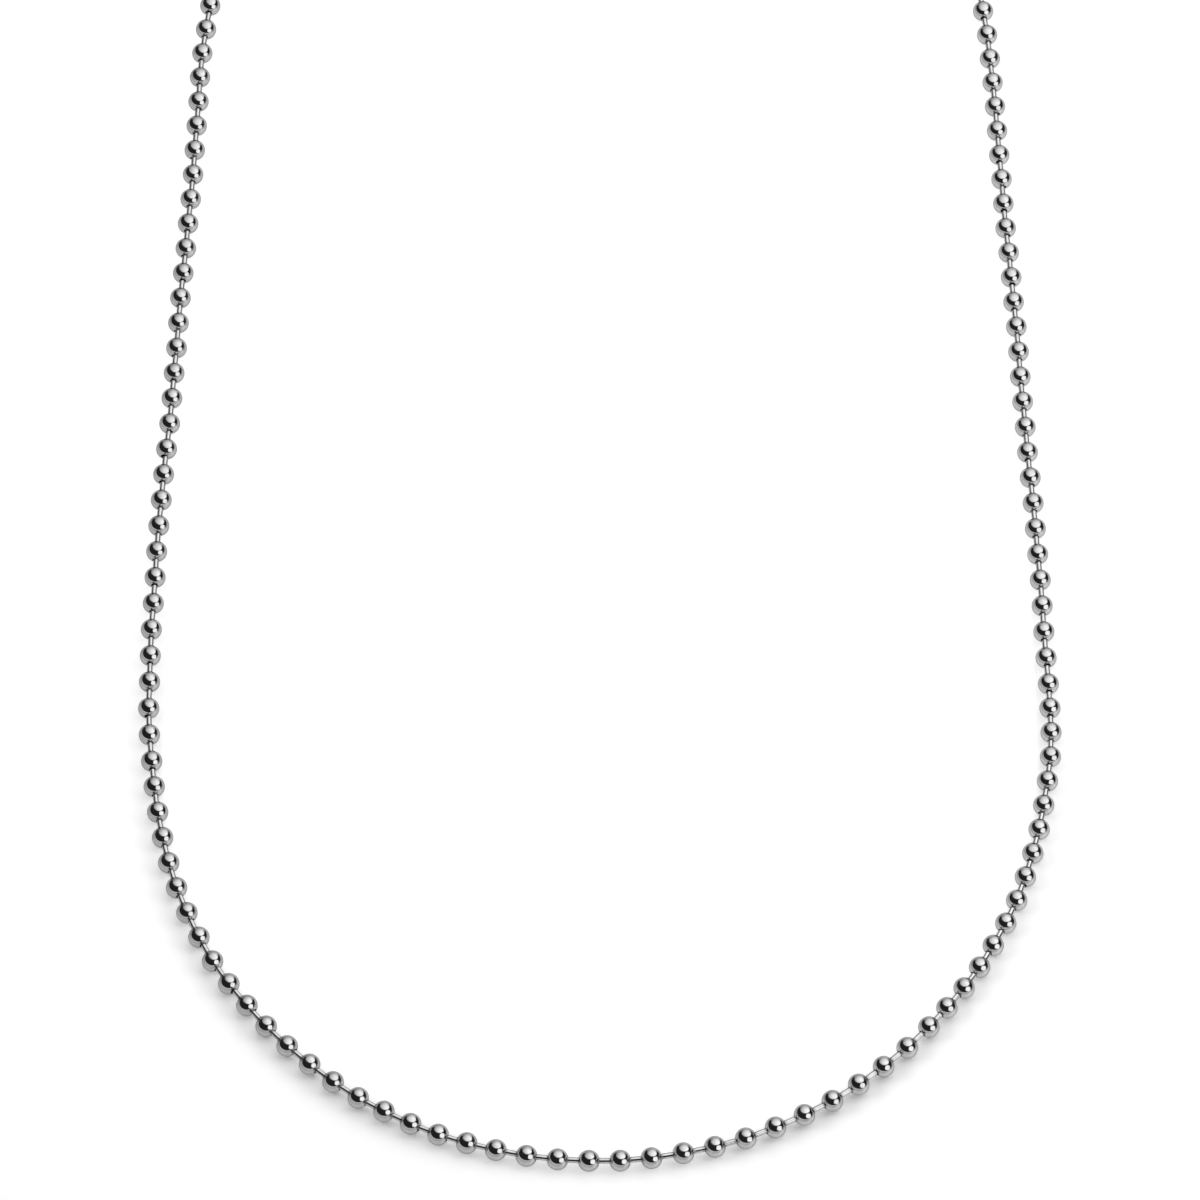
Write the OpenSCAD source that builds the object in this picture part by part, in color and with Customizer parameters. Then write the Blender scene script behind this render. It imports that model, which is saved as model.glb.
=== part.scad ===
// Ball chain necklace, laid out flat as one long loop and closed by a barrel clasp.
// Millimetres. +Z is up from the surface that the chain lies on, and +Y runs from the
// front of the loop, where a pendant would hang, to the clasp at the nape of the neck.
// The origin is on the surface, under the middle of the whole necklace.

/* [Chain] */
// Diameter of a bead
bead_d = 2.45; // [2:0.05:3.2]
// Bare length of pin between two beads
bead_gap = 1.05; // [0.7:0.05:1.6]
// Diameter of the pins that join the beads
pin_d = 0.65; // [0.4:0.05:0.8]

/* [Clasp] */
// Outer length of the barrel
clasp_l = 9.6; // [9:0.2:13]
// Thickness of the barrel's sheet metal
sheet_t = 0.35; // [0.25:0.05:0.5]
// Play between a bead and the barrel around it
bead_play = 0.05; // [0.03:0.01:0.1]
// Width of the slot that the pins slide along
slot_w = 0.9; // [0.8:0.05:1.2]
// Rounding at the barrel's two ends
end_round = 0.6; // [0.4:0.05:0.6]

/* [Hidden] */
$fn = 64;

pitch = bead_d + bead_gap;
bore_d = bead_d + 2 * bead_play;
clasp_d = bore_d + 2 * sheet_t;
// A bead snaps into the barrel through this round opening
entry_d = bead_d + bead_play;

// The clasp's axis crosses the back of the loop here
clasp_y = 98;
// Centre of a bead that is seated against the barrel's end wall
seat_x = clasp_l / 2 - sheet_t - bead_play - bead_d / 2;
// Near side of the first bead outside the barrel, where the tube of the chain begins
tube_x = seat_x + pitch - bead_d / 2;
// The barrel is fatter than a bead, so it lifts the ends of the chain by this much
clasp_rise = (clasp_d - bead_d) / 2;

// Centre line of the chain as it lies, from the left of the clasp round by the front
laid = [
    [-14, 97], [-27, 91.5], [-38, 82], [-45, 70], [-47.5, 56.5], [-48.5, 38.5],
    [-49.5, 19.5], [-50.5, 1], [-51.5, -17], [-52, -32], [-51.5, -46.5], [-49, -61],
    [-42, -76], [-30, -88.5], [-16, -96], [0, -98.5], [15.5, -96], [29.5, -88.5],
    [40.5, -77.5], [48, -63.5], [51.5, -48], [51.5, -31], [50.5, -11.5], [49.5, 7],
    [48.5, 24.5], [47.5, 42.5], [46.5, 57], [44, 70], [37, 82], [26.5, 91.5], [14, 97]
];
// The whole line also runs straight through the clasp's two ends
route = concat(
    [[-seat_x, clasp_y], [-tube_x, clasp_y]],
    laid,
    [[tube_x, clasp_y], [seat_x, clasp_y]]
);
first_span = 1;
last_span = len(route) - 3;

// The tube has a flat side down, and a ring of corners about every 2.7 diameters
tube_sides = 8;
ring_step = 6.6;
corner_r = bead_d / 2 / cos(180 / tube_sides);

// Direction of the line at route point i, where the shorter neighbouring span counts more
function heading(i) =
    let (
        before = route[i] - route[i - 1],
        after = route[i + 1] - route[i],
        a = norm(before),
        b = norm(after)
    )
    (before * b / a + after * a / b) / (a + b);

// Point at share u of span i, on a cubic that keeps both headings
function spot(i, u) =
    let (c = norm(route[i + 1] - route[i]))
    (2 * u ^ 3 - 3 * u ^ 2 + 1) * route[i]
    + (3 * u ^ 2 - 2 * u ^ 3) * route[i + 1]
    + (u ^ 3 - 2 * u ^ 2 + u) * c * heading(i)
    + (u ^ 3 - u ^ 2) * c * heading(i + 1);

// Direction of travel at share u of span i
function travel(i, u) =
    let (c = norm(route[i + 1] - route[i]))
    6 * (u - u ^ 2) * (route[i + 1] - route[i])
    + (3 * u ^ 2 - 4 * u + 1) * c * heading(i)
    + (3 * u ^ 2 - 2 * u) * c * heading(i + 1);

// How much of the clasp's rise the chain still has at share u of span i
function rise_share(i, u) =
    i == first_span ? 1 - ease(u) :
    i == last_span ? ease(u) :
    0;

function ease(u) = u ^ 2 * (3 - 2 * u);

function ring(i, u) =
    let (
        centre = spot(i, u),
        along = travel(i, u),
        across = [-along.y, along.x] / norm(along),
        height = bead_d / 2 + clasp_rise * rise_share(i, u)
    )
    [for (side = [0:tube_sides - 1])
        let (turn = (side + 0.5) * 360 / tube_sides)
        [
            centre.x + across.x * corner_r * cos(turn),
            centre.y + across.y * corner_r * cos(turn),
            height + corner_r * sin(turn)
        ]
    ];

function steps(i) = round(norm(route[i + 1] - route[i]) / ring_step);

// The beads and pins of the chain, as one tube that is as thick as the beads
module chain() {
    rings = concat(
        [for (i = [first_span:last_span]) for (k = [0:steps(i) - 1]) ring(i, k / steps(i))],
        [ring(last_span, 1)]
    );
    last = len(rings) - 1;
    walls = [for (k = [0:last - 1]) for (side = [0:tube_sides - 1])
        let (next = (side + 1) % tube_sides)
        [
            k * tube_sides + side,
            (k + 1) * tube_sides + side,
            (k + 1) * tube_sides + next,
            k * tube_sides + next
        ]
    ];
    near_end = [for (side = [0:tube_sides - 1]) side];
    far_end = [for (side = [tube_sides - 1:-1:0]) last * tube_sides + side];
    color("silver")
    polyhedron(
        points = [for (corners = rings) each corners],
        faces = concat(walls, [near_end, far_end]),
        convexity = 10
    );
}

// Half of the barrel's outline beside its axis, with rounded corners
module barrel_outline() {
    translate([0, end_round]) square([clasp_d / 2, clasp_l - 2 * end_round]);
    square([clasp_d / 2 - end_round, clasp_l]);
    for (h = [end_round, clasp_l - end_round])
        translate([clasp_d / 2 - end_round, h]) circle(end_round);
}

// A round bar along X, centred on the clasp's axis
module bar(d, l) {
    rotate([0, 90, 0]) cylinder(d = d, h = l, center = true);
}

// The slot and the round opening look up, so both beads can be seen in their seats
module clasp() {
    reach = clasp_l + 2;
    color("gainsboro")
    translate([0, clasp_y, clasp_d / 2])
    difference() {
        translate([-clasp_l / 2, 0, 0]) rotate([0, 90, 0]) rotate_extrude() barrel_outline();
        bar(bore_d, clasp_l - 2 * sheet_t);
        bar(slot_w, reach);
        translate([-reach / 2, -slot_w / 2, 0]) cube([reach, slot_w, clasp_d]);
        cylinder(d = entry_d, h = clasp_d);
    }
}

// The last bead at one end of the chain, in its seat, with the pin that leads out of the clasp
module end_bead(side) {
    color("silver")
    translate([side * seat_x, clasp_y, clasp_d / 2]) {
        sphere(d = bead_d);
        rotate([0, side * 90, 0]) cylinder(d = pin_d, h = tube_x - seat_x);
    }
}

module end_bead_left() {
    end_bead(-1);
}

module end_bead_right() {
    end_bead(1);
}

chain();
clasp();
end_bead_left();
end_bead_right();
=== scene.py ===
import math

import bpy
import numpy as np
from mathutils import Matrix, Vector


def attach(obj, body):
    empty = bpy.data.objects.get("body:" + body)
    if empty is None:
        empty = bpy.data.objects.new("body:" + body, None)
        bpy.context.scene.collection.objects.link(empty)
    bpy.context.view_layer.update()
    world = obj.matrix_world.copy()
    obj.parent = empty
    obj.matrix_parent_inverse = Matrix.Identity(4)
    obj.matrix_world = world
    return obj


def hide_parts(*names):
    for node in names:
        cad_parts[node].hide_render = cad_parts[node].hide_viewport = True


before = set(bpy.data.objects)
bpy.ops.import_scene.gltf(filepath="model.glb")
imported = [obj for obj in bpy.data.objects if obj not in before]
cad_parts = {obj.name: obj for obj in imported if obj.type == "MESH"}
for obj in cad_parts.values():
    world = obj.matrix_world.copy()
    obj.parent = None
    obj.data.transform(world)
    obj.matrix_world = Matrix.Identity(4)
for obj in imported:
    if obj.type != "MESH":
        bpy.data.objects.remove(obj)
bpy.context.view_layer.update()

# Camera
# It looks down at the front of the loop from 59 degrees above the surface, through a long
# lens nearly a metre away, so that all the beads look the same size, as in the photo.
camera_aim = Vector((0.0, -0.0255, 0.0012))
camera_elevation = math.radians(59)
camera_distance = 0.985
camera_back = Vector((0.0, -math.cos(camera_elevation), math.sin(camera_elevation)))

camera_data = bpy.data.cameras.new("camera")
camera_data.lens = 255
camera_data.sensor_width = 36
camera = bpy.data.objects.new("camera", camera_data)
camera.location = camera_aim + camera_distance * camera_back
camera.rotation_euler = camera_back.to_track_quat("Z", "Y").to_euler()
bpy.context.scene.collection.objects.link(camera)
bpy.context.scene.camera = camera
bpy.context.scene.view_settings.view_transform = "Standard"

# Line of the chain
# A ball chain is limp, and lies on the surface in the soft curves that it was laid in.
# These are the points of the route in part.scad, in metres, from the seat at the clasp's
# left end, round the front of the loop, to the seat at its right end.
clasp_y = 0.098
seat_x = 0.003175
tube_x = 0.00545
laid = [
    (-0.014, 0.097), (-0.027, 0.0915), (-0.038, 0.082), (-0.045, 0.070), (-0.0475, 0.0565),
    (-0.0485, 0.0385), (-0.0495, 0.0195), (-0.0505, 0.001), (-0.0515, -0.017),
    (-0.052, -0.032), (-0.0515, -0.0465), (-0.049, -0.061), (-0.042, -0.076),
    (-0.030, -0.0885), (-0.016, -0.096), (0.0, -0.0985), (0.0155, -0.096),
    (0.0295, -0.0885), (0.0405, -0.0775), (0.048, -0.0635), (0.0515, -0.048),
    (0.0515, -0.031), (0.0505, -0.0115), (0.0495, 0.007), (0.0485, 0.0245),
    (0.0475, 0.0425), (0.0465, 0.057), (0.044, 0.070), (0.037, 0.082), (0.0265, 0.0915),
    (0.014, 0.097),
]
left_seat = [(-seat_x, clasp_y), (-tube_x, clasp_y)]
right_seat = [(tube_x, clasp_y), (seat_x, clasp_y)]
route = np.array(left_seat + laid + right_seat)
spans = len(route) - 1
bead_r = 0.001225
clasp_r = 0.001625
steps_per_span = 40


def heading(i):
    """Direction of the line at route point i, where the shorter span beside it counts more."""
    if i in (0, spans):
        return np.array((-1.0, 0.0))
    before = route[i] - route[i - 1]
    after = route[i + 1] - route[i]
    a = np.linalg.norm(before)
    b = np.linalg.norm(after)
    return (before * b / a + after * a / b) / (a + b)


def ease(u):
    """From 0 to 1 with a soft start and a soft end."""
    return u * u * (3 - 2 * u)


def height(i, u):
    """The clasp is fatter than a bead, and lifts the chain's ends until they have left it."""
    rise_share = {0: 1 + 0 * u, 1: 1 - ease(u), spans - 2: ease(u), spans - 1: 1 + 0 * u}
    return bead_r + (clasp_r - bead_r) * rise_share.get(i, 0 * u)


# Each span is one cubic curve between two points of the route and the headings there
line = []
for i in range(spans):
    u = np.linspace(0, 1, steps_per_span, endpoint=i == spans - 1)[:, None]
    chord = np.linalg.norm(route[i + 1] - route[i])
    flat = (2 * u**3 - 3 * u**2 + 1) * route[i] + (3 * u**2 - 2 * u**3) * route[i + 1]
    flat += chord * (u**3 - 2 * u**2 + u) * heading(i)
    flat += chord * (u**3 - u**2) * heading(i + 1)
    line.append(np.hstack([flat, height(i, u)]))
line = np.vstack(line)
run = np.concatenate([[0], np.cumsum(np.linalg.norm(np.diff(line, axis=0), axis=1))])

# Places of the beads
# The beads slide on their pins, so a laid chain is drawn out in some stretches and bunched
# in others. The rows are the stretches that the photo shows, round from its top left
# corner, and the hidden rest on both sides takes up what is left of the line.
slack = [
    # stretch, steps, millimetres from bead to bead
    ("down the left arm", 30, 3.52),
    ("where the left arm turns in", 5, 3.39),
    ("lower left", 10, 3.48),
    ("left of the front", 5, 3.38),
    ("front", 5, 3.50),
    ("right of the front", 10, 3.62),
    ("lower right", 15, 3.23),
    ("up the right arm", 27, 3.50),
]
hidden_steps = 19
shown_pitches = [pitch / 1000 for _, steps, pitch in slack for _ in range(steps)]
hidden_pitch = (run[-1] - sum(shown_pitches)) / (2 * hidden_steps)
hidden_pitches = [hidden_pitch] * hidden_steps
bead_runs = np.cumsum([0, *hidden_pitches, *shown_pitches, *hidden_pitches])
centres = np.stack([np.interp(bead_runs, run, line[:, axis]) for axis in range(3)], axis=1)
last_bead = len(centres) - 1

# A pin never lies quite in line with the next, so the beads stagger a little to the inside
# of the line. The beads in the clasp and the two next to it stay on the line.
stagger = 0.00005
steps_to_full = 4
order = np.arange(len(centres))
slow_sway = np.sin(0.76 * order)
quick_sway = 0.5 * np.sin(1.93 * order + 1.2)
sway = 1.5 + slow_sway + quick_sway
from_clasp = np.minimum(order, order[::-1])
free = np.clip((from_clasp - 1) / steps_to_full, 0, 1)
along = np.gradient(centres, axis=0)
inward = np.stack([-along[:, 1], along[:, 0], 0 * order], axis=1)
inward /= np.linalg.norm(inward, axis=1)[:, None]
centres += inward * (stagger * sway * free)[:, None]

# Polish
# Every metal piece has been barrel polished, which leaves the same marks on all of them: a
# soft waviness under the shine, hair scratches, and a thin cloudy haze.
scratch_depth = 0.01
scratch_dulling = 0.5


def node(tree, kind, inputs=None, **settings):
    """A new node with its settings made, and its inputs set or linked, by name or number."""
    made = tree.nodes.new(kind)
    for name, value in settings.items():
        setattr(made, name, value)
    for name, value in (inputs or {}).items():
        if isinstance(value, bpy.types.NodeSocket):
            tree.links.new(value, made.inputs[name])
        else:
            made.inputs[name].default_value = value
    return made


def math_of(tree, operation, *values):
    """The result of one Math node on these numbers or sockets."""
    return node(tree, "ShaderNodeMath", dict(enumerate(values)), operation=operation).outputs[0]


def tone_of(tree, share, none, full):
    """The colour between these two, each a colour or a socket: the second at share 1."""
    inputs = {0: share}
    for number, colour in [(6, none), (7, full)]:
        inputs[number] = (*colour, 1) if isinstance(colour, tuple) else colour
    return node(tree, "ShaderNodeMix", inputs, data_type="RGBA").outputs[2]


def new_material(name):
    """An empty material and its node tree."""
    material = bpy.data.materials.new(name)
    material.use_nodes = True
    material.node_tree.nodes.clear()
    return material, material.node_tree


polish = bpy.data.node_groups.new("polish marks", "ShaderNodeTree")
for name, kind in [("Place", "Vector"), ("Wave Scale", "Float"), ("Scratch Scale", "Float")]:
    polish.interface.new_socket(name, in_out="INPUT", socket_type="NodeSocket" + kind)
for name in ["Haze", "Scratches", "Height"]:
    polish.interface.new_socket(name, in_out="OUTPUT", socket_type="NodeSocketFloat")
given = node(polish, "NodeGroupInput").outputs
wave = node(
    polish, "ShaderNodeTexNoise",
    {"Vector": given["Place"], "Scale": given["Wave Scale"], "Detail": 1.0, "Roughness": 0.4},
)
cloud = node(
    polish, "ShaderNodeTexNoise",
    {"Vector": given["Place"], "Scale": 1400.0, "Detail": 4.0, "Distortion": 0.6},
)
haze = node(
    polish, "ShaderNodeMapRange",
    {"Value": cloud.outputs["Fac"], "From Min": 0.35, "From Max": 0.7},
    interpolation_type="SMOOTHSTEP",
)
scratches = 0.0
for turn, squeeze in [
    ((0.4, 0.9, 0.3), (1, 1, 16)),
    ((1.3, 0.2, 2.1), (14, 1, 1)),
    ((2.2, 1.1, 0.8), (1, 18, 1)),
]:
    squeezed = node(
        polish, "ShaderNodeMapping",
        {"Vector": given["Place"], "Rotation": turn, "Scale": squeeze},
    )
    streaks = node(
        polish, "ShaderNodeTexNoise",
        {"Vector": squeezed.outputs["Vector"], "Scale": given["Scratch Scale"], "Detail": 1.0},
    )
    thin = node(
        polish, "ShaderNodeMapRange",
        {"Value": streaks.outputs["Fac"], "From Min": 0.66, "From Max": 0.74},
    )
    scratches = math_of(polish, "MAXIMUM", thin.outputs["Result"], scratches)
scratched = math_of(polish, "MULTIPLY_ADD", scratches, -scratch_depth, wave.outputs["Fac"])
node(
    polish, "NodeGroupOutput",
    {"Haze": haze.outputs["Result"], "Scratches": scratches, "Height": scratched},
)


def polished(name, bright, hazy, painted_recess_shade, rim, roughness, wave_scale, scratch_scale, relief):
    """Polished metal that is duller in the haze and the scratches, with painted shade in the
    recesses.

    Each mesh says where a point is on its own piece, and how deep in a recess it lies. The
    rim is how much of the light the metal still mirrors where its surface turns away.
    """
    material, tree = new_material(name)
    place = node(tree, "ShaderNodeAttribute", attribute_name="own_place")
    recess = node(tree, "ShaderNodeAttribute", attribute_name="recess")
    marks = node(
        tree, "ShaderNodeGroup",
        {
            "Place": place.outputs["Vector"],
            "Wave Scale": wave_scale,
            "Scratch Scale": scratch_scale,
        },
        node_tree=polish,
    ).outputs
    open_tone = tone_of(tree, marks["Haze"], bright, hazy)
    dull = math_of(tree, "MULTIPLY_ADD", marks["Scratches"], scratch_dulling, marks["Haze"])
    rough = node(
        tree, "ShaderNodeMapRange",
        {
            "Value": math_of(tree, "ADD", dull, recess.outputs["Fac"]),
            "To Min": roughness[0], "To Max": roughness[1],
        },
    )
    bump = node(
        tree, "ShaderNodeBump", {"Height": marks["Height"], "Strength": 1.0, "Distance": relief}
    )
    # The base colour is painted darker by the recess value, as shade
    metal = node(
        tree, "ShaderNodeBsdfPrincipled",
        {
            "Base Color": tone_of(tree, recess.outputs["Fac"], open_tone, painted_recess_shade),
            "Metallic": 1.0,
            "Specular Tint": (rim, rim, rim, 1),
            "Roughness": rough.outputs["Result"],
            "Normal": bump.outputs["Normal"],
        },
    )
    node(tree, "ShaderNodeOutputMaterial", {"Surface": metal.outputs["BSDF"]})
    return material


# Beads
# Each bead is a hollow ball that was pressed from steel strip round the heads of two pins.
# The strip's edges meet in a fine seam along the bead, and its two holes have rolled lips.
wall = 0.0001
hole_r = 0.00038
seam_depth = 0.00002
outside_steps = 26
inside_steps = 8
lip_steps = 5
looseness = 0.05
usual_roll = 0.6
noise_reach = 0.5
random = np.random.default_rng(7)
bead_metal = polished(
    "polished steel beads",
    bright=(0.60, 0.60, 0.605), hazy=(0.54, 0.54, 0.545), painted_recess_shade=(0.16, 0.155, 0.15), rim=0.5,
    roughness=(0.04, 0.13), wave_scale=900.0, scratch_scale=1500.0, relief=0.000008,
)


def arc(centre, radius, start, end, steps):
    """Points (along, out) on an arc from start to end degrees, counted from the thread."""
    turns = np.radians(np.linspace(start, end, steps + 1))
    return np.stack([centre[0] + radius * np.cos(turns), centre[1] + radius * np.sin(turns)], 1)


# The wall's outline, once round: over the outside, round one lip, back inside, round the other
middle_r = bead_r - wall / 2
lip_out = hole_r + wall / 2
lip_turn = math.degrees(math.asin(lip_out / middle_r))
lip_along = math.sqrt(middle_r**2 - lip_out**2)
bead_outline = np.vstack([
    arc((0, 0), bead_r, lip_turn, 180 - lip_turn, outside_steps)[:-1],
    arc((-lip_along, lip_out), wall / 2, 180 - lip_turn, 360 - lip_turn, lip_steps)[:-1],
    arc((0, 0), bead_r - wall, 180 - lip_turn, lip_turn, inside_steps)[:-1],
    arc((lip_along, lip_out), wall / 2, lip_turn - 180, lip_turn, lip_steps)[:-1],
])

# Degrees round the bead: the floor of the seam, its two edges, and then the rest
seam_floor = 0.5
seam_edge = 1.6
seam_turns = [-seam_edge, -seam_floor, seam_floor, seam_edge]
other_turns = np.linspace(10, 350, 37)
bead_turns = np.radians([*seam_turns, *other_turns])


def turned(outline, turns):
    """Points and faces of a closed outline that is turned right round the thread."""
    count = len(turns)
    around = np.stack([np.zeros(count), np.sin(turns), -np.cos(turns)], 1)
    points = outline[:, None, 1:] * around + outline[:, None, :1] * (1, 0, 0)
    faces = []
    for k in range(len(outline)):
        for m in range(count):
            a = k * count + m
            b = k * count + (m + 1) % count
            c = (k + 1) % len(outline) * count + (m + 1) % count
            d = (k + 1) % len(outline) * count + m
            faces.append((a, b, c, d))
    return points.reshape(-1, 3), faces


bead_points, bead_faces = turned(bead_outline, bead_turns)
in_seam = np.tile(np.abs(np.degrees(bead_turns)) < seam_edge / 2, len(bead_outline))
reach = np.linalg.norm(bead_points, axis=1)
bead_points[in_seam & (reach > middle_r)] *= 1 - seam_depth / bead_r
# The recess value paints shade into the colour inside the bead, round its lips and in the seam's
# groove
bead_recess = np.clip((bead_r - reach) / (wall / 2), 0, 1)
bead_recess[in_seam] = 1


def axes_along(direction, roll):
    """Rows: the thread's direction, a sideways axis and the one that looks up, then rolled."""
    out = direction / np.linalg.norm(direction)
    sideways = np.cross((0, 0, 1), out)
    sideways /= np.linalg.norm(sideways)
    up = np.cross(out, sideways)
    return np.array([
        out,
        math.cos(roll) * sideways + math.sin(roll) * up,
        -math.sin(roll) * sideways + math.cos(roll) * up,
    ])


def place_bead(i):
    """Bead i's points, with its holes on the thread as nearly as its loose fit lets them be."""
    before = centres[max(i - 1, 0)]
    after = centres[min(i + 1, last_bead)]
    thread = (after - before) / np.linalg.norm(after - before)
    loose = random.normal(0, looseness, 3)
    roll = random.normal(0, usual_roll)
    return centres[i] + bead_points @ axes_along(thread + loose, roll)


def joined(name, copies):
    """One mesh object of many copies, each (points, faces, own points, recess).

    Each copy takes its marks from another place in the noise, so that no two look alike.
    """
    mesh = bpy.data.meshes.new(name)
    starts = np.cumsum([0] + [len(points) for points, *_ in copies])
    faces = [
        tuple(int(start) + corner for corner in face)
        for start, (_, own_faces, _, _) in zip(starts, copies)
        for face in own_faces
    ]
    mesh.from_pydata(np.vstack([points for points, *_ in copies]), [], faces)
    own_place = mesh.attributes.new("own_place", "FLOAT_VECTOR", "POINT")
    shifts = random.uniform(-noise_reach, noise_reach, (len(copies), 3))
    own = np.vstack([points + shift for (_, _, points, _), shift in zip(copies, shifts)])
    own_place.data.foreach_set("vector", own.astype(np.float32).ravel())
    recess = mesh.attributes.new("recess", "FLOAT", "POINT")
    depth = np.concatenate([depth for *_, depth in copies])
    recess.data.foreach_set("value", depth.astype(np.float32))
    mesh.shade_smooth()
    piece = bpy.data.objects.new(name, mesh)
    bpy.context.scene.collection.objects.link(piece)
    return piece


stretch_names = ["back_left", "front_left", "front_right", "back_right"]
beads_each = 36
stretches = {
    stretch: range(1 + k * beads_each, 1 + (k + 1) * beads_each)
    for k, stretch in enumerate(stretch_names)
}
for stretch, beads in stretches.items():
    string = joined(
        "beads_" + stretch, [(place_bead(i), bead_faces, bead_points, bead_recess) for i in beads]
    )
    string.data.materials.append(bead_metal)
    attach(string, "root")
    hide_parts("chain")

# Pins
# A pin is a short length of drawn wire with a head upset on each end. The heads sit inside
# two neighbouring beads, behind the lips of their holes, and hold the chain together.
pin_r = 0.000325
head_r = 0.00056
head_l = 0.00028
between_heads = 0.0020
recess_from = 0.00056
recess_fade = 0.0002
degrees_a_side = 18
whole_turn = 6.28
pin_metal = polished(
    "drawn steel pins",
    bright=(0.66, 0.66, 0.665), hazy=(0.58, 0.58, 0.585), painted_recess_shade=(0.20, 0.195, 0.19), rim=0.3,
    roughness=(0.03, 0.10), wave_scale=1600.0, scratch_scale=2600.0, relief=0.000002,
)
half_shaft = [
    # along, out
    (between_heads / 2 + head_l, 0.35 * head_r),
    (between_heads / 2 + 0.82 * head_l, 0.72 * head_r),
    (between_heads / 2 + 0.5 * head_l, 0.96 * head_r),
    (between_heads / 2 + 0.25 * head_l, head_r),
    (between_heads / 2, 0.94 * head_r),
    (between_heads / 2 - 0.02 * head_l, 0.62 * head_r),
    (between_heads / 2 - 0.3 * head_l, 1.06 * pin_r),
    (0.35 * between_heads, pin_r),
    (0.17 * between_heads, pin_r),
]
shaft = np.array(half_shaft + [(0.0, pin_r)] + [(-x, r) for x, r in reversed(half_shaft)])
pin_turns = np.radians(np.arange(0, 360, degrees_a_side))


def capped(outline, turns):
    """Points and faces of an open outline that is turned round the thread and closed by discs."""
    points, faces = turned(outline, turns)
    count = len(turns)
    walls = faces[: (len(outline) - 1) * count]
    last = len(points) - count
    near = tuple(range(count))
    far = tuple(range(len(points) - 1, last - 1, -1))
    return points, walls + [near[::-1], far[::-1]]


pin_points, pin_faces = capped(shaft, pin_turns)
# Where the pin runs into the beads, its recess value paints shade into the colour
pin_recess = np.clip((np.abs(pin_points[:, 0]) - recess_from) / recess_fade, 0, 1)


def place_pin(i):
    """The points of the pin between beads i and i + 1."""
    middle = (centres[i] + centres[i + 1]) / 2
    roll = random.uniform(0, whole_turn)
    return middle + pin_points @ axes_along(centres[i + 1] - centres[i], roll)


for stretch, beads in stretches.items():
    pins = [i for i in beads if i + 1 < last_bead]
    wires = joined(
        "pins_" + stretch, [(place_pin(i), pin_faces, pin_points, pin_recess) for i in pins]
    )
    wires.data.materials.append(pin_metal)
    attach(wires, "root")
    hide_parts("chain")

# Beads in the clasp
# The last bead at each end of the chain is an ordinary bead that was snapped into the
# clasp. It sits against the clasp's end wall, and its pin leads out through the end.
for side, bead, pin in [("left", 0, 0), ("right", last_bead, last_bead - 1)]:
    seated = joined(
        "seated_bead_" + side,
        [
            (place_bead(bead), bead_faces, bead_points, bead_recess),
            (place_pin(pin), pin_faces, pin_points, pin_recess),
        ],
    )
    seated.data.materials.append(bead_metal)
    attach(seated, "root")
    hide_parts("end_bead_" + side)

# Clasp
# The clasp is a strip of sheet metal that was rolled into a barrel and rounded in at both
# ends. The strip's edges stay apart as a slot for the pins, and a round opening in the
# middle of the slot lets a bead snap in.
clasp_half = 0.0048
sheet_t = 0.00035
end_round = 0.0006
slot_half = 0.00045
entry_r = 0.00125
entry_merge = 9
end_wall_steps = 6
corner_steps = 8
barrel_steps = 70
around_steps = 56
crowding = 1.25
sheet_share = 0.98
clasp_metal = polished(
    "polished sheet clasp",
    bright=(0.58, 0.58, 0.585), hazy=(0.50, 0.50, 0.505), painted_recess_shade=(0.22, 0.215, 0.21), rim=0.7,
    roughness=(0.08, 0.24), wave_scale=500.0, scratch_scale=1300.0, relief=0.00001,
)

# The middle of the sheet along the clasp: up the left end wall, over the barrel, down the right
barrel_out = clasp_r - sheet_t / 2
corner_r = end_round - sheet_t / 2
corner_along = clasp_half - end_round
end_wall = np.linspace(slot_half, clasp_r - end_round, end_wall_steps + 1)[:-1]
right_end = np.vstack([
    arc((corner_along, clasp_r - end_round), corner_r, 90, 0, corner_steps),
    np.stack([np.full(len(end_wall), clasp_half - sheet_t / 2), end_wall[::-1]], 1),
])
left_end = right_end[::-1] * (-1, 1)
barrel_along = np.linspace(-corner_along, corner_along, barrel_steps + 1)
barrel = np.stack([barrel_along, np.full(len(barrel_along), barrel_out)], 1)
clasp_outline = np.vstack([left_end, barrel[1:-1], right_end])


def half_gap(along_x):
    """Half the width of the slot, or of the round opening where that is wider."""
    opening = np.sqrt(np.maximum(entry_r**2 - along_x**2, 0))
    return (slot_half**entry_merge + opening**entry_merge) ** (1 / entry_merge)


# The columns of points crowd together towards the edges of the slot, to keep them crisp
share = np.linspace(-1, 1, around_steps + 1)
crowded = np.sign(share) * (1 - (1 - np.abs(share)) ** crowding)
clasp_points = []
for along_x, out in clasp_outline:
    half_turn = math.pi - math.asin(min(1.0, half_gap(along_x) / out))
    turns = crowded * half_turn
    clasp_points += [(along_x, out * math.sin(t), -out * math.cos(t)) for t in turns]
columns = len(share)
clasp_faces = [
    (k * columns + m, k * columns + m + 1, (k + 1) * columns + m + 1, (k + 1) * columns + m)
    for k in range(len(clasp_outline) - 1)
    for m in range(columns - 1)
]
clasp_points = np.array(clasp_points)
clasp_recess = np.zeros(len(clasp_points))
clasp = joined(
    "snap_clasp",
    [(clasp_points + (0, clasp_y, clasp_r), clasp_faces, clasp_points, clasp_recess)],
)

# The sheet is a hair thinner here than in part.scad, which keeps it inside the CAD clasp
thickness = clasp.modifiers.new("sheet thickness", "SOLIDIFY")
thickness.thickness = sheet_share * sheet_t
thickness.offset = 0
thickness.use_even_offset = True
rounding = clasp.modifiers.new("tumbled edges", "BEVEL")
rounding.width = 0.00007
rounding.segments = 3
rounding.limit_method = "ANGLE"
rounding.angle_limit = math.radians(50)
clasp.data.materials.append(clasp_metal)
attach(clasp, "root")
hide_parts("clasp")
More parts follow.
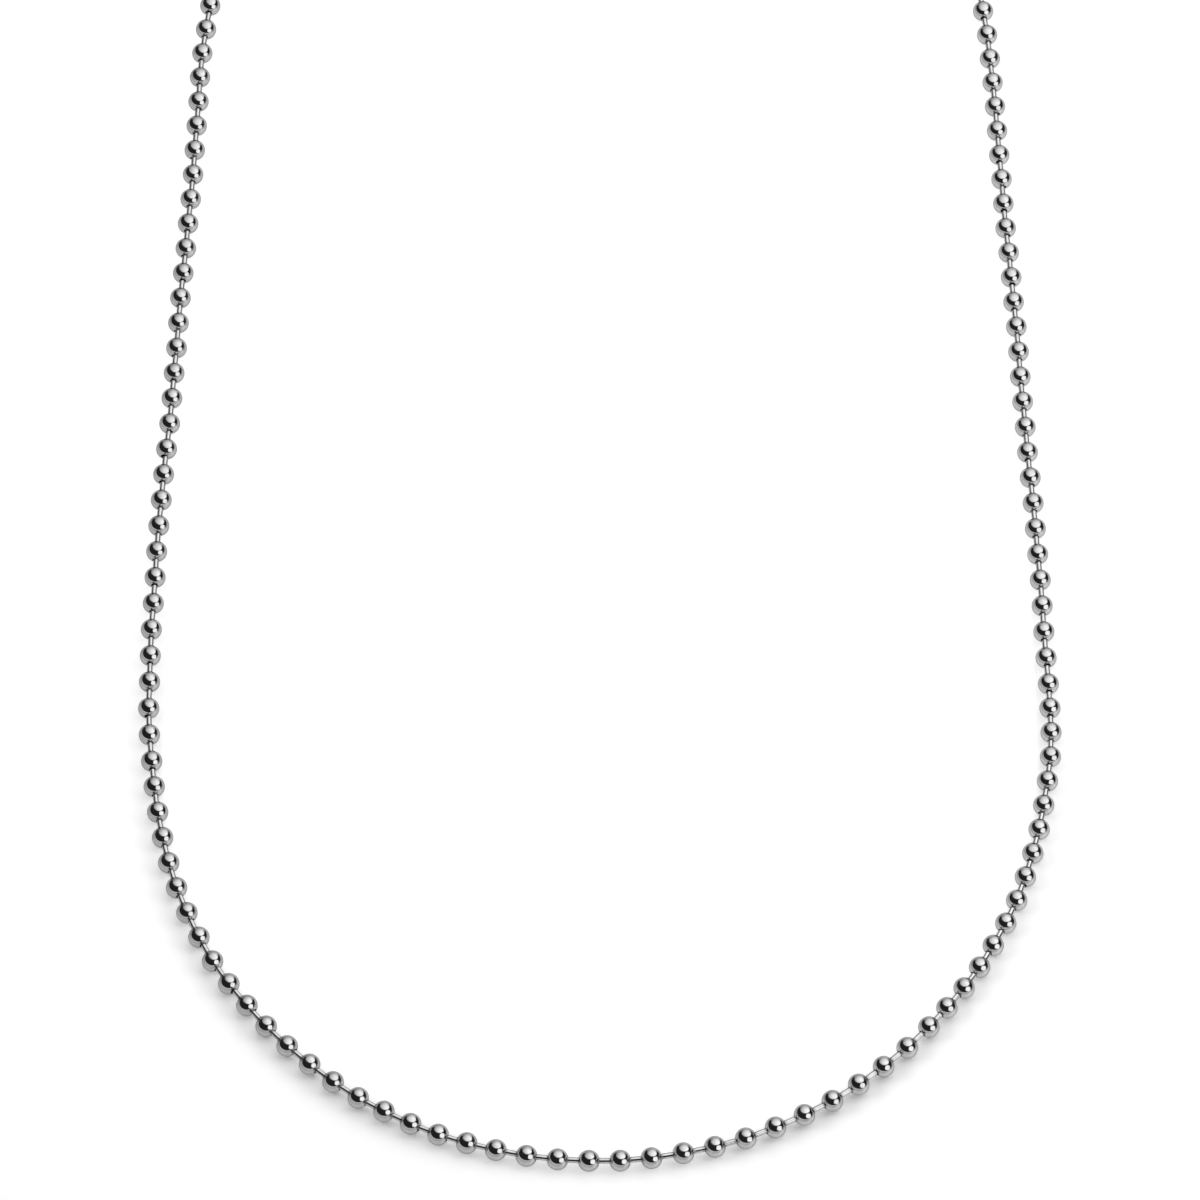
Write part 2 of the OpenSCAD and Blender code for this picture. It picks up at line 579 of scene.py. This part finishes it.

# Floor
# A wide sheet of smooth white paper with a faint gloss, which the metal mirrors near its edges.
# The camera sees a brighter copy of the paper, like a burnt-out white ground, and a painted white
# glow hides its shade: most of all inside the loop and behind its front, and a little at the
# middle of the front.
paper_tones = ((0.51, 0.51, 0.51), (0.55, 0.55, 0.55))
exposed_tones = ((1.25, 1.25, 1.25), (1.29, 1.29, 1.29))
exposed_white = 1.04
loop_r = 0.0515
loop_bend_y = -0.0465
inside_fade = 0.0017
behind_full_y = -0.01
behind_gone_y = -0.09
inside_share = 0.88
front_width = 0.02
front_share = 0.55
floor_r = 3.0
floor_corners = 96
floor_z = -0.00001


def bell(tree, value, centre, width):
    """1 at the centre, and 1/e at this width to both sides of it."""
    offset = math_of(tree, "MULTIPLY_ADD", value, 1 / width, -centre / width)
    square = math_of(tree, "MULTIPLY", offset, offset)
    return math_of(tree, "EXPONENT", math_of(tree, "MULTIPLY", square, -1.0))


def fading(tree, distance, full, gone):
    """1 where the distance is less than full, and softly less until it is gone."""
    return node(
        tree, "ShaderNodeMapRange",
        {"Value": distance, "From Min": gone, "From Max": full},
        interpolation_type="SMOOTHSTEP",
    ).outputs["Result"]


def length_of(tree, x, y):
    """The length of the line from 0, 0 to x, y."""
    squares = math_of(tree, "MULTIPLY_ADD", x, x, math_of(tree, "MULTIPLY", y, y))
    return math_of(tree, "SQRT", squares)


def shader_of(tree, share, none, full):
    """The shader between these two: the second at share 1."""
    return node(tree, "ShaderNodeMixShader", {0: share, 1: none, 2: full}).outputs[0]


def object_place(tree):
    """A point's place on its object, and the X, Y and Z of that place."""
    place = node(tree, "ShaderNodeTexCoord").outputs["Object"]
    return place, node(tree, "ShaderNodeSeparateXYZ", {0: place}).outputs


paper, tree = new_material("white paper")
place, axes = object_place(tree)
fibres = node(
    tree, "ShaderNodeTexNoise", {"Vector": place, "Scale": 9000.0, "Detail": 3.0}
).outputs["Fac"]

# As the metal sees it: a duller copy of the paper that glows with painted light, more to the
# right, and is glossy where it is edge on
matt = node(tree, "ShaderNodeBsdfDiffuse", {"Color": tone_of(tree, fibres, *paper_tones)})
painted_glow_level = node(
    tree, "ShaderNodeMapRange",
    {"Value": axes["X"], "From Min": -0.06, "From Max": 0.06, "To Min": 0.36, "To Max": 0.54},
)
# Painted light: the paper glows for the metal, more to the right
glow = node(tree, "ShaderNodeEmission", {"Strength": painted_glow_level.outputs["Result"]})
body = node(tree, "ShaderNodeAddShader", {0: matt.outputs[0], 1: glow.outputs[0]})
gloss = node(tree, "ShaderNodeBsdfGlossy", {"Roughness": 0.25})
edge_on = node(tree, "ShaderNodeFresnel", {"IOR": 1.7})
sheet = shader_of(tree, edge_on.outputs[0], body.outputs[0], gloss.outputs[0])

# As the camera sees it: a brighter copy with a painted white glow mixed in by place. The loop is
# round in front of its bend and straight behind it
exposed = node(tree, "ShaderNodeBsdfDiffuse", {"Color": tone_of(tree, fibres, *exposed_tones)})
# A painted white glow, which hides the paper's shade where it is mixed in
white = node(tree, "ShaderNodeEmission", {"Strength": exposed_white})
past_bend = math_of(tree, "MINIMUM", math_of(tree, "SUBTRACT", axes["Y"], loop_bend_y), 0.0)
from_middle = length_of(tree, past_bend, axes["X"])
inside = fading(tree, from_middle, loop_r - inside_fade, loop_r)
behind = fading(tree, axes["Y"], behind_full_y, behind_gone_y)
painted_white_share = math_of(
    tree, "MAXIMUM",
    math_of(tree, "MULTIPLY", math_of(tree, "MAXIMUM", inside, behind), inside_share),
    math_of(tree, "MULTIPLY", bell(tree, axes["X"], 0.0, front_width), front_share),
)
seen = shader_of(tree, painted_white_share, exposed.outputs[0], white.outputs[0])
by_camera = node(tree, "ShaderNodeLightPath").outputs["Is Camera Ray"]
node(tree, "ShaderNodeOutputMaterial", {"Surface": shader_of(tree, by_camera, sheet, seen)})

floor_mesh = bpy.data.meshes.new("floor")
floor_edge = [
    (floor_r * math.cos(t), floor_r * math.sin(t), floor_z)
    for t in np.linspace(0, 2 * math.pi, floor_corners, endpoint=False)
]
floor_mesh.from_pydata(floor_edge, [], [tuple(range(floor_corners))])
floor_mesh.materials.append(paper)
floor = bpy.data.objects.new("floor", floor_mesh)
bpy.context.scene.collection.objects.link(floor)

# Cloth hood
# A hood of white cloth hangs over the loop and comes down to the paper behind it. A lamp
# above makes it glow, most of all a little to the right, and less towards all sides.
hood_height = 0.40
hood_back = 0.60
hood_bend_r = 0.15
hood_bend_steps = 8
hood_front = -0.30
hood_left = -0.90
hood_right = 1.20
hood_hem = 0.001

# Places on the cloth are counted across it, from the loop's middle to the right, and along it,
# from over the middle to the back and then down. It glows most at one place, and its two sides
# fade out at a slant.
glow_strength = 1.58
glow_across = 0.31
glow_width = 0.62
glow_along = 0.05
glow_length = 0.91
left_slant = 0.8
left_full = -0.097
left_gone = -0.377
right_full = 1.10
right_gone = 1.43

# The front of the cloth is half an oval with a soft edge, and leans a little to the left
oval_along = 0.60
oval_length = 0.76
oval_across = 0.135
oval_half_width = 0.566
oval_lean = 0.072
oval_full = 0.949
oval_gone = 1.051


def glowing(material, strength, share):
    """Finishes a light's material: it glows by this strength, and lets the rest through."""
    tree = material.node_tree
    glow = node(tree, "ShaderNodeEmission", {"Strength": strength})
    clear = node(tree, "ShaderNodeBsdfTransparent")
    partly_clear = shader_of(tree, share, clear.outputs[0], glow.outputs[0])
    node(tree, "ShaderNodeOutputMaterial", {"Surface": partly_clear})


def light_from(name, points, faces, material):
    """A light that the camera doesn't see, as one mesh."""
    mesh = bpy.data.meshes.new(name)
    mesh.from_pydata(points, [], faces)
    mesh.materials.append(material)
    light = bpy.data.objects.new(name, mesh)
    light.visible_camera = False
    bpy.context.scene.collection.objects.link(light)
    return light


cloth, tree = new_material("white cloth")
_, axes = object_place(tree)
across = axes["X"]
down = node(tree, "ShaderNodeAttribute", attribute_name="down").outputs["Fac"]
level = math_of(
    tree, "MULTIPLY",
    bell(tree, across, glow_across, glow_width), bell(tree, down, glow_along, glow_length),
)
slanted_left = math_of(tree, "MULTIPLY_ADD", down, left_slant, across)
slanted_right = math_of(tree, "ADD", down, across)
edges = math_of(
    tree, "MULTIPLY",
    fading(tree, slanted_left, left_full, left_gone),
    fading(tree, slanted_right, right_full, right_gone),
)
strength = math_of(tree, "MULTIPLY", math_of(tree, "MULTIPLY", level, edges), glow_strength)
ahead = math_of(tree, "MAXIMUM", math_of(tree, "SUBTRACT", oval_along, down), 0.0)
beside = math_of(tree, "MULTIPLY_ADD", ahead, oval_lean, across)
beside_share = math_of(
    tree, "MULTIPLY_ADD", beside, 1 / oval_half_width, -oval_across / oval_half_width
)
ahead_share = math_of(tree, "DIVIDE", ahead, oval_length)
from_oval = length_of(tree, beside_share, ahead_share)
glowing(cloth, strength, fading(tree, from_oval, oval_full, oval_gone))

hood_line = [(hood_front, hood_height)]
hood_line += [
    (
        hood_back - hood_bend_r + hood_bend_r * math.sin(t),
        hood_height - hood_bend_r + hood_bend_r * math.cos(t),
    )
    for t in np.linspace(0, math.pi / 2, hood_bend_steps + 1)
]
hood_line.append((hood_back, hood_hem))
hood_points = [(x, y, z) for y, z in hood_line for x in (hood_left, hood_right)]
hood_faces = [(2 * k, 2 * k + 2, 2 * k + 3, 2 * k + 1) for k in range(len(hood_line) - 1)]
hood = light_from("cloth_hood", hood_points, hood_faces, cloth)
hood_steps = np.linalg.norm(np.diff(hood_line, axis=0), axis=1)
down_hood = hood_front + np.concatenate([[0], np.cumsum(hood_steps)])
distance = hood.data.attributes.new("down", "FLOAT", "POINT")
distance.data.foreach_set("value", np.repeat(down_hood, 2).astype(np.float32))

# Lamps
# Three lamps stand round the loop, each behind a sheet of white cloth with round corners. The
# low one at the front right gives the metal its sharpest highlight, and is too weak to light
# the paper. The two at the sides light only the paper, and the metal doesn't show them.
corner_power = 3.0
cloth_full = 0.45
cloth_gone = 1.0


def lamp(name, strength, place, half, turn, tilt, roll):
    """A lamp at this place, whose cloth is turned and tilted to face the loop, in degrees."""
    diffuser, tree = new_material(name + " diffuser")
    _, axes = object_place(tree)
    powers = [
        math_of(tree, "POWER", math_of(tree, "ABSOLUTE", axes[axis]), corner_power)
        for axis in ("X", "Y")
    ]
    share = fading(tree, math_of(tree, "ADD", *powers), cloth_full, cloth_gone)
    glowing(diffuser, strength, share)
    corners = [(-1, -1, 0), (1, -1, 0), (1, 1, 0), (-1, 1, 0)]
    light = light_from(name, corners, [(0, 1, 2, 3)], diffuser)
    turned_round = Matrix.Rotation(math.radians(turn), 3, "Z")
    tilted = turned_round @ Matrix.Rotation(math.radians(tilt), 3, "X")
    light.location = place
    light.rotation_euler = (tilted @ Matrix.Rotation(math.radians(roll), 3, "Z")).to_euler()
    light.scale = (*half, 1)
    return light


low_lamp = lamp(
    "low_lamp", strength=1.5, place=(0.474, -0.401, 0.373),
    half=(0.364, 0.31), turn=49.8, tilt=59, roll=-42.4,
)
low_lamp.visible_diffuse = False
for lamp_side, sign in [("left", -1), ("right", 1)]:
    paper_lamp = lamp(
        "paper_lamp_" + lamp_side, strength=3.4, place=(sign * 0.43, -0.02, 0.38),
        half=(0.22, 0.18), turn=sign * 94, tilt=48.6, roll=0,
    )
    paper_lamp.visible_glossy = False

# Room
# The metal sees a dark room with a pale strip low down at the front, where the paper turns
# up, most of all at the left. The camera sees a pale ground behind the paper.
strip_lean = (0.083, 0.164, 1.0)
strip_full = 0.062
strip_gone = 0.12
room_dark = (0.022, 0.022, 0.022)
strip_pale = (0.7, 0.7, 0.7)
ground_pale = (0.95, 0.95, 0.95)

room = bpy.data.worlds.new("room")
room.use_nodes = True
bpy.context.scene.world = room
tree = room.node_tree
tree.nodes.clear()
way = node(tree, "ShaderNodeTexCoord").outputs["Generated"]
above_paper = node(
    tree, "ShaderNodeVectorMath", {0: way, 1: strip_lean}, operation="DOT_PRODUCT"
).outputs["Value"]
strip = fading(tree, above_paper, strip_full, strip_gone)
mirrored = tone_of(tree, strip, room_dark, strip_pale)
by_camera = node(tree, "ShaderNodeLightPath").outputs["Is Camera Ray"]
air = node(
    tree, "ShaderNodeBackground",
    {"Color": tone_of(tree, by_camera, mirrored, ground_pale), "Strength": 1.0},
)
node(tree, "ShaderNodeOutputWorld", {"Surface": air.outputs[0]})
